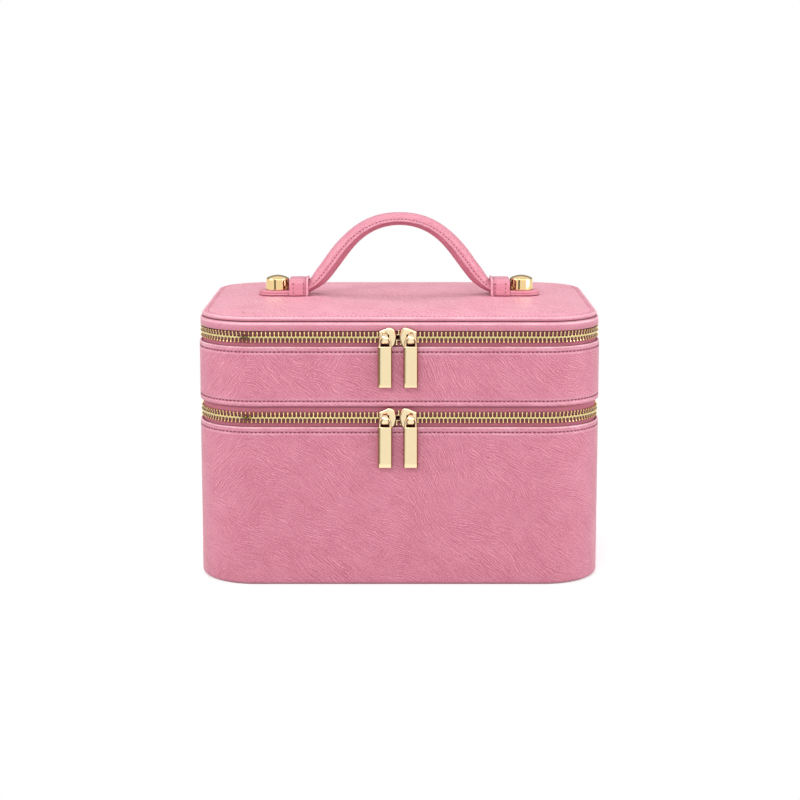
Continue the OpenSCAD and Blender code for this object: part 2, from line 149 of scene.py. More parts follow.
def tube(points, uv=None, closed=True):
    """A closed skin over rings of points (ring, place on the ring), each end drawn to a pole in the
    middle of its ring. Rings that are not closed end where they start."""
    m, n = points.shape[:2]
    verts = np.r_[points.reshape(-1, 3), points[[0, -1]].mean(1)]
    faces = grid_faces(m, n, False, closed)
    faces += fan(0, n, m * n, closed) + fan((m - 1) * n, n, m * n + 1, closed)
    if uv is None:
        return verts, faces
    uv = uv.reshape(m * n, -1)
    return verts, faces, np.r_[uv, uv[[0, -1]]]


def mapped_tube(points, painted_light=0.0):
    """A closed skin over rings, with a map along the rings' places and round the rings, cut where
    each ring starts, and its painted light as a third column: a painted highlight above 0, painted
    shade below 0."""
    painted_light = np.broadcast_to(painted_light, points.shape[:2])
    points, painted_light = (np.concatenate([each, each[:, :1]], 1) for each in (points, painted_light))
    steps = [np.diff(points, axis=k, prepend=points.take([0], k)) for k in (0, 1)]
    along, round_it = (np.linalg.norm(steps[k], axis=2).mean(1 - k).cumsum() for k in (0, 1))
    return tube(points, pack(along[:, None], round_it, painted_light), False)


def swept(s, profile):
    """A profile's points (depth, z) carried to places along the outline, and their map: along the
    outline and the profile, with the painted light on the skin, which a profile point may give: a
    painted highlight above 0, painted shade below 0."""
    third = [point[2] if len(point) > 2 else 0.0 for point in profile]
    flat = np.array([point[:2] for point in profile], float)
    run = np.cumsum(np.hypot(*np.diff(flat, axis=0, prepend=flat[:1]).T))
    return round_the_rim(s, *flat.T), pack(s[:, None], run, third)


def skin_round(profile, close=True):
    """A skin whose profile goes all round the outline, cut at the back, with its map."""
    points, uv = swept(CUT_LOOP, [*profile, profile[0]] if close else profile)
    return points.reshape(-1, 3), grid_faces(*points.shape[:2]), uv.reshape(-1, 3)


def skin_across(depth, z):
    """A flat skin from a ring of the outline in to its middle, with its map from above."""
    middle = np.array([0, 0, z])
    spokes = round_the_rim(CUT_LOOP[:-1], [depth], [z])[:, 0] - middle
    rings = np.array([middle + spokes * k for k in (1.0, 0.9, 0.78, 0.62, 0.45, 0.25, 0.1)])
    m, n = rings.shape[:2]
    verts = np.r_[rings.reshape(-1, 3), [middle]]
    faces = grid_faces(m, n, False, True) + fan((m - 1) * n, n, m * n)
    return verts, faces, verts * (1, 1, 0)


def soft(wave, power):
    """A sine or cosine bent to a superellipse's."""
    return np.sign(wave) * np.abs(wave) ** (2 / power)


def oval(half_a, half_b, n=12, power=2.6):
    """Points (a, b) of a superellipse of n sides."""
    u = (np.arange(n) + 0.5) * 2 * PI / n
    return pack(half_a * soft(np.cos(u), power), half_b * soft(np.sin(u), power))


def stack(sections, sides, power):
    """A small solid along z: each section gives z, half width and half depth of a superellipse."""
    z, w, d = np.array(sections, float).T[..., None]
    return tube(pack(*np.moveaxis(oval(w, d, sides, power), -1, 0), z))


def bead(*half):
    """A short hump of thread along x, from half its sections (x, half height, half depth)."""
    other = [(-x, h, d) for x, h, d in half[::-1] if x]
    verts, faces = stack([*other, *half], 6, 2.0)
    return verts[:, [2, 1, 0]], faces


def rounded_box(size, radius, centre):
    """A box with round edges: an inner box with a sphere's parts round its corners."""
    near = np.linspace(0, 1, 3) * 0.999
    g = np.r_[near - 1, 1 - near[::-1]]
    sides = []
    for axis in range(3):
        for sign in (-1.0, 1.0):
            side = np.roll(pack(sign, g[:, None], g), axis, -1)
            sides.append((side.reshape(-1, 3), grid_faces(len(g), len(g))))
    q, faces = joined(*sides)
    core = np.sign(q) * np.maximum(np.array(size) / 2 - radius, 0)
    return core + q / np.linalg.norm(q, axis=1)[:, None] * radius + centre, faces


def copies(shape, origin, along, outward, up):
    """A small shape repeated at many places: its x runs along, its y outward and its z up."""
    verts, faces = shape
    placed = origin[:, None]
    for part, way in zip(verts.T, (along, outward, up)):
        placed = placed + part[:, None] * way[:, None]
    starts = (np.arange(len(origin)) * len(verts))[:, None, None]
    out = []
    for corners in (4, 3):
        group = np.array([face for face in faces if len(face) == corners])
        out += (group + starts).reshape(-1, corners).tolist()
    return placed.reshape(-1, 3), out


def on_rim(shape, s, depth, z):
    """A small shape repeated along the outline at a depth and a height."""
    x, y, normal, along = rim(s, depth)
    return copies(shape, pack(x, y, z), pack(*along, 0), pack(*normal, 0), pack(0 * x, 0, 1))


def joined(*shapes):
    """Several shapes as one, with their maps if they have them."""
    faces, base = [], 0
    for shape in shapes:
        faces += [[i + base for i in face] for face in shape[1]]
        base += len(shape[0])
    verts, _, *maps = zip(*shapes)
    return (np.concatenate(verts), faces, *(np.concatenate(uv) for uv in maps))


def mirrored(shape):
    """The shape on the other side of the middle."""
    return (shape[0] * (-1, 1, 1), *shape[1:])


def moved(shape, by):
    """The shape moved by an offset."""
    return (shape[0] + by, *shape[1:])


def map_moved(shape, by):
    """The shape with its map moved by an offset, so that its grain starts elsewhere."""
    return (*shape[:2], shape[2] + (*by, 0.0))


def new_object(name, data):
    made = bpy.data.objects.new(name, data)
    scene.collection.objects.link(made)
    return made


def piece(name, shape, body, material, replaces=(), merge=False, smooth=True):
    """A mesh piece that rides on a CAD body, or on none yet, with faces, smooth or flat, that point
    outwards. The third column of its map, if there is one, becomes an attribute of painted light: a
    painted highlight above 0, painted shade below 0."""
    verts, faces, *uv = shape
    mesh = bpy.data.meshes.new(name)
    mesh.from_pydata((verts * 0.001).tolist(), [], faces)
    for columns in uv:
        layer = mesh.uv_layers.new(name="UVMap")
        at = np.zeros(len(mesh.loops), int)
        mesh.loops.foreach_get("vertex_index", at)
        layer.data.foreach_set("uv", columns[at, :2].astype(np.float32).ravel())
        if columns.shape[1] > 2:
            # The attribute of painted light: highlight above 0, shade below 0.
            painted_marks = mesh.attributes.new("Worn", "FLOAT", "POINT")
            painted_marks.data.foreach_set("value", columns[:, 2].astype(np.float32))
    bm = bmesh.new()
    bm.from_mesh(mesh)
    if merge:
        bmesh.ops.remove_doubles(bm, verts=bm.verts, dist=1e-6)
    bmesh.ops.recalc_face_normals(bm, faces=bm.faces)
    for f in bm.faces:
        f.smooth = smooth
    bm.to_mesh(mesh)
    bm.free()
    made = new_object(name, mesh)
    mesh.materials.append(material)
    if body:
        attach(made, body)
    if replaces:
        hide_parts(*replaces)
    return made


# ---- Materials ----


def linear(colour):
    """A colour of the display, such as "#ff8000", as Blender's linear colour."""
    c = np.array([*bytes.fromhex(colour[1:])]) / 255
    c = np.where(c <= 0.04045, c / 12.92, ((c + 0.055) / 1.055) ** 2.4)
    return (*c.tolist(), 1.0)


class Net:
    """Adds nodes to a shader tree, with links or plain values on their inputs."""

    def __init__(self, tree):
        self.tree = tree

    def put(self, value, socket):
        """Links an output to a socket, or gives the socket a plain value."""
        if isinstance(value, bpy.types.NodeSocket):
            self.tree.links.new(value, socket)
        else:
            socket.default_value = value

    def add(self, kind, settings=None, *numbered, **named):
        """A node with its settings and its inputs, by number or by name."""
        node = self.tree.nodes.new("ShaderNode" + kind)
        for key, value in (settings or {}).items():
            setattr(node, key, value)
        for number, value in enumerate(numbered):
            self.put(value, node.inputs[number])
        for key, value in named.items():
            self.put(value, node.inputs[key.replace("_", " ")])
        return node

    def maths(self, op, *values, clamp=False):
        return self.add("Math", {"operation": op, "use_clamp": clamp}, *values).outputs[0]

    def times(self, a, b, plus=0.0, clamp=False):
        return self.maths("MULTIPLY_ADD", a, b, plus, clamp=clamp)

    def vector(self, op, *values, output=0, **named):
        return self.add("VectorMath", {"operation": op}, *values, **named).outputs[output]

    def mix(self, factor, a, b):
        """A blend from colour a to colour b, each a link or a colour of the display."""
        node = self.add("Mix", {"data_type": "RGBA"}, factor)
        for number, value in ((6, a), (7, b)):
            self.put(linear(value) if isinstance(value, str) else value, node.inputs[number])
        return node.outputs[2]

    def spread(self, value, low, high, out_low=0.0, out_high=1.0):
        """How far the value is from low to high, from out_low to out_high."""
        return self.add("MapRange", {}, value, low, high, out_low, out_high).outputs[0]

    def noise(self, place, scale, detail, flat=False, **named):
        """A noise's outputs, over a flat map or in space."""
        kind = {"noise_dimensions": "2D" if flat else "3D"}
        return self.add("TexNoise", kind, Vector=place, Scale=scale, Detail=detail, **named).outputs

    def split(self, place):
        return self.add("SeparateXYZ", {}, place).outputs

    def place(self, kind="Object"):
        return self.add("TexCoord").outputs[kind]

    # The mesh's painted light: a painted highlight above 0, painted shade below 0.
    def painted_light(self):
        return self.add("Attribute", {"attribute_name": "Worn"}).outputs["Fac"]

    def use(self, group, place, **named):
        """The outputs of a group at a place."""
        return self.add("Group", {"node_tree": group}, place, **named).outputs

    def painted_corner_shade(self, reach):
        """How far a place lies into a corner or seam, from 0 in the open to 1, over reach in m: the
        mask for shade painted there.
        """
        felt = self.add("AmbientOcclusion", {"samples": 6}, Distance=reach).outputs["AO"]
        return self.spread(felt, 0.75, 0.1)

    def bump(self, shader, height, strength, distance):
        made = self.add("Bump", Strength=strength, Distance=distance, Height=height)
        self.put(made.outputs[0], shader["Normal"])

    def give(self, *results):
        """Links a group's results to its output node, and returns the finished tree."""
        out = self.tree.nodes.new("NodeGroupOutput")
        for value, socket in zip(results, out.inputs):
            self.put(value, socket)
        return self.tree


def new_group(name, place, plain, results):
    """A node group that takes a place and plain numbers and gives numbers: the helper for its tree,
    and its inputs."""
    tree = bpy.data.node_groups.new(name, "ShaderNodeTree")
    tree.interface.new_socket(place, in_out="INPUT", socket_type="NodeSocketVector")
    for label, value in plain.items():
        socket = tree.interface.new_socket(label, in_out="INPUT", socket_type="NodeSocketFloat")
        socket.default_value = value
    for label in results:
        tree.interface.new_socket(label, in_out="OUTPUT", socket_type="NodeSocketFloat")
    return Net(tree), tree.nodes.new("NodeGroupInput").outputs


def make_crinkle():
    """Grain of pressed leather over a flat map in mm: fine creases side by side, as on a fingertip.
    Each set is a sine of the distance across its slant, bent by slow noises, that a stretched noise
    lets run together and fade. The sets take over from one another in patches, and the slant turns
    over left of the map's line at -80."""
    net, into = new_group("Crinkle grain", "Map", {"Size": 1.0}, ("Height", "Ridges", "Blotches"))
    place = into[0]
    for scale, reach in ((0.03, 7.0), (0.15, 1.5), (0.55, 0.4)):
        wander = net.noise(into[0], scale, 0.0, True)["Color"]
        shift = net.vector("SUBTRACT", wander, (0.5, 0.5, 0.5))
        place = net.vector("MULTIPLY_ADD", shift, (reach, reach, 0), place)
    sized = net.vector("SCALE", place, Scale=into[1])
    sets, slants = ((-58, 6.0, 1.2), (-38, 7.0, 1.15), (-20, 6.0, 1.15), (47, 7.0, 1.2)), []
    for angle, along, pitch in sets:
        turned = {"Rotation": (0, 0, math.radians(angle)), "Scale": (along, pitch, 1)}
        at = net.add("Mapping", {"vector_type": "TEXTURE"}, Vector=sized, **turned).outputs[0]
        merge = net.noise(at, 0.7, 1.0, True)[0]
        fade = net.noise(at, 1.2, 1.0, True)[0]
        wave = net.maths("SINE", net.times(merge, 7.0, net.times(net.split(at)[1], 2 * PI)))
        slants.append(net.times(wave, net.spread(fade, 0.32, 0.62, 0.2, 1.0)))
    patches = net.noise(into[0], 0.022, 1.0, True)[0]
    patches = net.times(net.spread(net.split(into[0])[0], -76.0, -88.0), 0.3, patches)
    height = slants[0]
    for slant, start in zip(slants[1:], (0.38, 0.56, 0.74)):
        share = net.spread(patches, start - 0.05, start + 0.05)
        height = net.add("Mix", Factor=share, A=height, B=slant).outputs[0]
    height = net.times(height, 0.36, net.noise(sized, 1.3, 2.0, True)[0])
    blotch = net.noise(into[0], 0.07, 4.0, True, Roughness=0.6)[0]
    return net.give(height, net.spread(height, 0.05, 0.95), net.spread(blotch, 0.3, 0.7))


def make_weave():
    """Cloth tape: two crossed rows of threads as sines of the UV map in mm, with a little noise."""
    net, into = new_group("Tape weave", "UV", {"Threads per mm": 2.2}, ("Height", "Shade"))
    u, v, _ = net.split(into[0])
    turns = net.times(into[1], 2 * PI)
    along = net.maths("SINE", net.times(u, turns))
    across = net.maths("SINE", net.times(net.times(u, 0.5, v), turns))
    cross = net.times(net.times(along, across), 0.5, 0.5)
    fuzz = net.noise(into[0], 1.3, 3.0)[0]
    return net.give(net.times(fuzz, 0.4, cross), net.times(fuzz, 0.5, net.times(cross, 0.5)))


def make_polish():
    """Plated metal: faint cloudy tarnish and hairline scratches, over Object coordinates."""
    net, into = new_group("Plated polish", "Vector", {}, ("Tarnish", "Scratches"))
    cloud = net.noise(into[0], 260.0, 3.0)[0]
    thin = net.add("Mapping", Vector=into[0], Scale=(1.0, 1.0, 0.06)).outputs[0]
    return net.give(net.spread(cloud, 0.35, 0.75), net.noise(thin, 2600.0, 2.0)[0])


def make_pile():
    """Short pile or foam: soft clumps and fine fibres, over Object coordinates."""
    net, into = new_group("Short pile", "Vector", {"Size": 1.0}, ("Height", "Clumps"))
    clumps = net.noise(into[0], net.times(into[1], 170.0), 6.0, Roughness=0.65)[0]
    fibres = net.noise(into[0], net.times(into[1], 1800.0), 2.0)[0]
    return net.give(net.times(clumps, 0.3, fibres), net.spread(clumps, 0.3, 0.7))


CRINKLE, WEAVE, POLISH, PILE = make_crinkle(), make_weave(), make_polish(), make_pile()


def new_material(name, roughness, **plain):
    """A material, the helper for its tree, and its Principled shader's inputs."""
    material = bpy.data.materials.new(name)
    material.use_nodes = True
    shader = material.node_tree.nodes["Principled BSDF"].inputs
    for key, value in {"Roughness": roughness, **plain}.items():
        shader[key.replace("_", " ")].default_value = value
    return material, Net(material.node_tree), shader


def leather(name, base, light, dark, size, bump, roughness, from_above=False):
    """Crinkled leather, mapped in mm by the piece's UV or from above: paler in soft blotches, with
    a painted highlight on the ridges, which are also glossier, and painted shade in the creases,
    seams and corners. The painted-light attribute is above 0 where a highlight is painted along an
    edge and below 0 where shade is painted on a fold."""
    material, net, shader = new_material(name, roughness)
    if from_above:
        x, y, z = net.split(net.place())
        lean = net.times(z, 0.6, net.times(x, 0.85)), net.times(z, 0.8, net.times(y, 0.55))
        place = net.add("CombineXYZ", {}, *lean).outputs[0]
        place = net.vector("SCALE", place, Scale=1000.0)
    else:
        place = net.add("UVMap").outputs[0]
    height, ridges, blotches = net.use(CRINKLE, place, Size=size)
    shade = net.mix(net.times(blotches, 0.3), base, light)
    # Painted highlight: the grain's ridges are painted paler, for the gloss that catches on them.
    shade = net.mix(net.spread(ridges, 0.5, 0.95, 0.0, 0.8), shade, light)
    # Painted shade: the creases between the ridges are painted darker.
    shade = net.mix(net.spread(ridges, 0.5, 0.0, 0.0, 0.75), shade, dark)
    # The mesh's painted light: a painted highlight where above 0, painted shade where below 0.
    painted_light = net.painted_light()
    painted_marks = net.times(painted_light, net.spread(blotches, 0.0, 1.0, 0.5, 1.0), clamp=True)
    shade = net.mix(painted_marks, shade, "#ffd6e2")
    shade = net.mix(net.times(painted_light, -1.0, clamp=True), shade, "#96485c")
    # Painted shade in corners and seams.
    shade = net.mix(net.painted_corner_shade(0.0012), shade, "#682c38")
    net.put(shade, shader["Base Color"])
    net.put(net.times(ridges, -0.16, roughness + 0.08), shader["Roughness"])
    net.bump(shader, height, bump, 0.0003)
    return material


def plated(name, base, dark, shade_colour, roughness, tarnish=0.2, painted_flank_reflection=False):
    """Polished plate on brass, with faint tarnish, painted brown shade in corners, and, if so
    asked, a painted brown reflection on the narrow sides of flat parts."""
    material, net, shader = new_material(name, roughness, Metallic=1.0)
    cloud, scratches = net.use(POLISH, net.place())
    shade = net.mix(net.times(cloud, tarnish), base, dark)
    if painted_flank_reflection:
        # Painted reflection: faces that turn sideways or up are painted brown, for the dark
        # surroundings they mirror.
        nx, _, nz = net.split(net.place("Normal"))
        lean = [net.maths("ABSOLUTE", part) for part in (nx, net.times(nz, 0.5))]
        lean = net.maths("MAXIMUM", *lean)
        shade = net.mix(net.spread(lean, 0.34, 0.54, 0.0, 0.95), shade, "#965026")
    # Painted shade in corners and crevices.
    net.put(net.mix(net.painted_corner_shade(0.0014), shade, shade_colour), shader["Base Color"])
    net.put(net.times(scratches, 0.05, roughness), shader["Roughness"])
    net.bump(shader, scratches, 0.006, 0.00003)
    return material


def cloth(name, base, dark, size, bump, roughness, **plain):
    """Suede-like cloth, foam or raw board: soft clumps of shade over fine fibres."""
    material, net, shader = new_material(name, roughness, **plain)
    height, clumps = net.use(PILE, net.place(), Size=size)
    net.put(net.mix(net.times(clumps, 0.5), base, dark), shader["Base Color"])
    net.bump(shader, height, bump, 0.0003)
    return material


def woven(name, base, dark, threads, bump):
    """Woven tape, patterned by the piece's map, with painted shade near the teeth, from the map's
    third column, and in corners.
    """
    material, net, shader = new_material(name, 0.75)
    height, pattern = net.use(WEAVE, net.add("UVMap").outputs[0], Threads_per_mm=threads)
    # Painted shade near the teeth.
    shade = net.mix(net.times(net.painted_light(), 0.75), net.mix(pattern, dark, base), "#60282c")
    # Painted shade in corners.
    net.put(net.mix(net.painted_corner_shade(0.0016), shade, "#541e24"), shader["Base Color"])
    net.bump(shader, height, bump, 0.0002)
    return material


def silvered(name, base, dark):
    """Silvered glass with the faintest unevenness."""
    material, net, shader = new_material(name, 0.02, Metallic=1.0)
    cloud = net.use(POLISH, net.place())[0]
    net.put(net.mix(net.times(cloud, 0.1), base, dark), shader["Base Color"])
    return material


# Leather colours: base, the paler tone that blotches have and that ridges get as painted highlight,
# then the painted shade of the creases.
LEATHER = leather("Crinkled leather", "#c87489", "#e69cae", "#b45c72", 1.0, 0.5, 0.4)
# The lid is the same leather as the walls, painted paler because its top is lit from above: painted
# light.
LID_LEATHER_PAINTED_PALER = leather("Lid leather", "#dc90a2", "#f8bcc9", "#bc687d", 0.9, 0.8, 0.4, True)
TAB_LEATHER = leather("Tab leather", "#d6889a", "#e29aaa", "#c87689", 1.0, 0.2, 0.3, True)
PIPING = leather("Piping leather", "#d88a9c", "#e6a2b1", "#bc687c", 1.4, 0.3, 0.38)
TAPE = woven("Zip tape", "#cc7a8c", "#9e5062", 2.2, 0.4)
PALE_THREAD = cloth("Lid thread", "#cc8092", "#b46478", 3.0, 0.4, 0.7)
THREAD = cloth("Sewing thread", "#7e3c4c", "#622836", 3.0, 0.4, 0.7)
# Each plate's second colour is its tarnish, the third the painted shade in its corners; the zip
# gold also gets painted reflections on its sides.
ZIP_GOLD = plated("Zip gold", "#f7e2b8", "#ecd09c", "#5c3210", 0.08, 0.1, True)
TOOTH_GOLD = plated("Tooth gold", "#ffecb2", "#eccc84", "#542810", 0.14, 0.3)
# Not a part of the slider: dark paint for the shadow in its slot and hole.
PAINTED_SLIDER_SHADOW = plated("Slider mouth", "#1a100a", "#120a06", "#080503", 0.5)
STUD_GOLD = plated("Stud gold", "#f3d49c", "#e0b068", "#6e380e", 0.05, 0.2)
STEEL = plated("Screw steel", "#c8cace", "#a0a2a8", "#46423e", 0.3)
LINING = cloth("Suede lining", "#e2babe", "#cea0a6", 1.0, 0.35, 0.85, Sheen_Weight=0.3)
BOARD = cloth("Raw board", "#a8a096", "#8c847a", 2.0, 0.3, 0.9)
FOAM = cloth("Foam", "#f0e8d6", "#ded4be", 1.5, 0.5, 0.9)
MIRROR = silvered("Mirror", "#f0f2f4", "#e2e6e8")

# ---- Camera, light and floor, in metres ----

LOOKS_DOWN = 8.249
WORLD_LIGHT = 0.3
FLOOR_HALF = 6.0
# name, place, height of what it lights, size, power, whether it is seen in gloss
LAMPS = (
    ("Left", (-1.3, -0.5, 0.7), 0.08, (1.1, 1.1), 11, True),
    ("Right", (1.3, -0.5, 0.6), 0.08, (1.1, 1.1), 12.5, True),
    ("Front", (0.5, -1.9, 0.8), 0.08, (1.4, 1.0), 5, True),
    ("Key", (-0.4, -1.2, 1.2), 0.1, (0.6, 0.45), 8.5, True),
    ("Top", (0.0, 0.5, 1.7), 0.15, (1.0, 0.8), 13, False),
    ("Back", (0.3, 1.8, 0.9), 0.08, (1.4, 1.0), 5, False),
)


def make_camera():
    data = bpy.data.cameras.new("Camera")
    data.sensor_width, data.lens, data.shift_y = 36.0, 82.57, -0.10
    camera = scene.camera = new_object("Camera", data)
    camera.location = (0.00033, -1.0955, 0.2994)
    camera.rotation_euler = (math.radians(90 - LOOKS_DOWN), 0, 0)


def make_lamp(name, place, aim, size, power, shines):
    data = bpy.data.lights.new(name, "AREA")
    data.shape, data.size, data.size_y, data.energy = "RECTANGLE", *size, power
    lamp = new_object(name, data)
    lamp.location = place
    lamp.visible_glossy = shines
    x, y, z = np.subtract((0, 0, aim), place)
    tilt = math.acos(-z / math.hypot(x, y, z))
    lamp.rotation_euler = (tilt, 0, math.atan2(x, -y) + PI)


def make_screens():
    """How bright the studio is in a direction, for reflections alone: white, but for a dark strip
    left of the camera, between two bearings, and a dim screen low down behind the case."""
    net, into = new_group("Side screens", "Vector", {}, ("Strength",))
    x, y, z = net.split(into[0])
    length = net.vector("LENGTH", into[0], output="Value")
    rise, back = net.maths("DIVIDE", z, length), net.maths("DIVIDE", y, length)
    bearing = net.maths("ARCTAN2", x, net.times(y, -1.0))
    off_strip = net.maths("ABSOLUTE", net.maths("ADD", bearing, 0.42))
    strip = net.times(net.spread(off_strip, 0.17, 0.11), net.spread(rise, 0.75, 0.45))
    behind = net.times(net.spread(rise, 0.02, 0.12), net.spread(rise, 0.68, 0.55))
    behind = net.times(behind, net.spread(back, 0.0, 0.3, 0.0, 0.7))
    return net.give(net.spread(net.maths("MAXIMUM", strip, behind), 0.0, 1.0, 1.0, 0.08))


SCREENS = make_screens()


def seen_rays(net, direction):
    """Whether a ray comes from the camera, gloss or glass, and how bright it finds the studio:
    plain white, but for the side screens in gloss."""
    path = net.add("LightPath").outputs
    gloss = path["Is Glossy Ray"]
    seen = net.maths("MAXIMUM", path["Is Camera Ray"], gloss)
    seen = net.maths("MAXIMUM", seen, path["Is Transmission Ray"])
    screens = net.use(SCREENS, direction)[0]
    return seen, net.times(gloss, net.maths("SUBTRACT", screens, 1.0), 1.0)


def make_world():
    """Even pale light, which the camera, gloss and glass see as white."""
    world = bpy.data.worlds.new("Studio")
    scene.world = world
    world.use_nodes = True
    net = Net(world.node_tree)
    background = world.node_tree.nodes["Background"].inputs
    seen, white = seen_rays(net, net.place("Generated"))
    background["Color"].default_value = (1, 1, 1, 1)
    extra = net.maths("SUBTRACT", white, WORLD_LIGHT)
    net.put(net.times(seen, extra, WORLD_LIGHT), background["Strength"])


def make_floor():
    """A pale floor that keeps the object's shadow near it and turns to plain white further out."""
    mesh = bpy.data.meshes.new("Floor")
    corners = [(x * FLOOR_HALF, y * FLOOR_HALF, 0) for x, y in ((-1, -1), (1, -1), (1, 1), (-1, 1))]
    mesh.from_pydata(corners, [], [(0, 1, 2, 3)])
    floor = new_object("Floor", mesh)
    colours = {"Base_Color": (0.6, 0.6, 0.6, 1), "Emission_Color": (1, 1, 1, 1)}
    material, net, shader = new_material("Floor", 0.9, Specular_IOR_Level=0.0, **colours)
    place = net.place()
    seen, brightness = seen_rays(net, place)
    net.put(net.times(seen, 0.5), shader["Emission Strength"])
    away = net.vector("LENGTH", place, output="Value")
    far = net.times(seen, net.spread(away, 0.13, 0.27))
    near_shader = material.node_tree.nodes["Principled BSDF"].outputs[0]
    far_shader = net.add("Emission", Strength=brightness).outputs[0]
    both = net.add("MixShader", {}, far, near_shader, far_shader).outputs[0]
    net.put(both, material.node_tree.nodes["Material Output"].inputs[0])
    mesh.materials.append(material)


make_camera()
make_world()
make_floor()
for lamp in LAMPS:
    make_lamp(*lamp)
scene.view_settings.view_transform = "Standard"

# ---- Leather walls ----

LEATHER_T = 1.6
STITCH_IN = 3.0
STITCH_DEPTH = 0.3


def edge_arc(depth, z, radius, start, end, n, painted_light=0.0):
    """Points of a circle from one angle to another, 0 pointing out of the wall and 90 up, with a
    painted highlight along it, brightest where it points half way up or down."""
    a = np.radians(np.linspace(start, end, n))
    # Painted highlight along the round edge.
    pale = painted_light * np.maximum(np.cos((np.abs(a) - 0.8) * 1.4), 0) ** 2
    x, z = depth + radius - radius * np.cos(a), z + radius * np.sin(a)
    return pack(x, z, pale).tolist()


def sewn_groove(z):
    """A shallow channel in the wall where stitches pull the leather in, swollen on both sides."""
    # The third numbers are a painted highlight on the swells beside the channel.
    groove = [(-1.9, 0.0, 0.0), (-1.0, -0.1, 0.25), (-0.5, 0.21, 0.0), (0.0, 0.42, 0.0)]
    groove += [(0.5, 0.21, 0.0), (1.0, -0.1, 0.3)]
    return [(depth, z + dz, painted_light) for dz, depth, painted_light in groove]


def stitches(s, depth, z):
    """A row of short thread humps along the outline."""
    hump = bead((0.0, 0.36, 0.3), (0.5, 0.32, 0.24), (0.8, 0.06, 0.06))
    return on_rim(hump, s, depth, z)


def lower_case():
    top_stitch = LOWER_TOP - STITCH_IN
    base_r, inner_z = 2.6, 2.0
    profile = edge_arc(0, base_r, base_r, -90, 0, 6) + [(0, z) for z in (14, 40, 66, 82)]
    profile += sewn_groove(top_stitch) + [(-0.1, LOWER_TOP - 1.1)]
    profile += edge_arc(-0.02, LOWER_TOP - 0.8, 0.8, 0, 180, 13, 0.85)
    profile += [(LEATHER_T, z) for z in (LOWER_TOP - 4, 30, inner_z)]
    sides = skin_round(profile, close=False)
    shape = joined(sides, skin_across(base_r, 0.0), skin_across(LEATHER_T, inner_z))
    nodes = ("lower_wall_leather", "base_leather")
    piece("lower_leather", shape, "lower_case", LEATHER, nodes, merge=True)
    row = stitches(STITCH_S, STITCH_DEPTH, top_stitch)
    piece("lower_stitches", row, "lower_case", THREAD)


def tray():
    low, high = TRAY_Z + STITCH_IN, TRAY_TOP - STITCH_IN
    profile = edge_arc(0, TRAY_Z + 0.8, 0.8, -180, 0, 13, 0.1)
    profile += [(d, 2 * low - z, k) for d, z, k in sewn_groove(low)[::-1]]
    profile += [(0, z) for z in (TRAY_Z + 9, TRAY_Z + 17, TRAY_TOP - 9)] + sewn_groove(high)
    profile += edge_arc(0, TRAY_TOP - 0.8, 0.8, 0, 180, 13, 0.85)
    profile += [(LEATHER_T, TRAY_TOP - 4), (LEATHER_T, TRAY_Z + 4)]
    shape = map_moved(skin_round(profile), (0.0, 130.0))
    piece("tray_leather", shape, "tray", LEATHER, ("tray_wall_leather",), merge=True)
    rows = ((STITCH_S, low), (STITCH_S + 1.1, high))
    rows = joined(*(stitches(s, STITCH_DEPTH, z) for s, z in rows))
    piece("tray_stitches", rows, "tray", THREAD)


def lid_sides():
    """The lid's side wall, bulging to a soft roll under the piping's seam, and the piping."""
    # Third numbers are painted light: shade on the lower wall above the zip, a highlight just under
    # the seam.
    profile = [(1.6, LID_Z + 0.4), (1.2, LID_Z), (0.75, LID_Z + 0.1), (0.6, LID_Z + 0.6, -0.3)]
    profile += [(0.6, LID_Z + 2, -0.25), (0.6, SEAM_Z - 2.2, -0.1), (0.6, SEAM_Z - 1.6, 0.1)]
    profile += [(0.65, SEAM_Z - 1.1, 0.9), (0.8, SEAM_Z - 0.6, 0.3), (1.0, SEAM_Z - 0.3)]
    profile += [(1.5, SEAM_Z - 0.05), (2.0, SEAM_Z), (2.0, SEAM_Z - 1.5), (1.7, LID_Z + 2)]
    side = skin_round(profile)
    piece("lid_side", side, "lid", PIPING, ("lid_gusset",), merge=True)
    a = np.arange(20) * 2 * PI / 20
    r = 1.3 * (1 + 0.05 * np.sin(3 * a))
    # A painted highlight along the piping's upper outer side.
    pale = 0.6 * np.maximum(np.cos((a - 1.0) * 1.2), 0) ** 3 * (a < 3)
    roll = skin_round(pack(2.8 - r * np.cos(a), SEAM_Z + 1.3 + r * np.sin(a), pale))
    roll = map_moved(roll, (77.0, 77.0))
    piece("lid_piping_roll", roll, "lid", PIPING, ("lid_piping",), merge=True)


CROWN_IN = 3.7
CROWN_RIM = 14.4
CROWN_FALL = LID_TOP - SEAM_Z - 2.2
# middle and half sizes of the two feet of leather that press on the lid's top
FOOT_X, FOOT_HALF_X, FOOT_HALF_Y = 69, 12, 6
SETTLE_FRAMES = 20


def crown_height(depth):
    """Height of the padded top at a depth from the outline: a quarter wave up from its edge."""
    k = np.clip(1 - (depth - CROWN_IN) / CROWN_RIM, 0, 1)
    return LID_TOP - CROWN_FALL * (1 - np.cos(k * PI / 2))


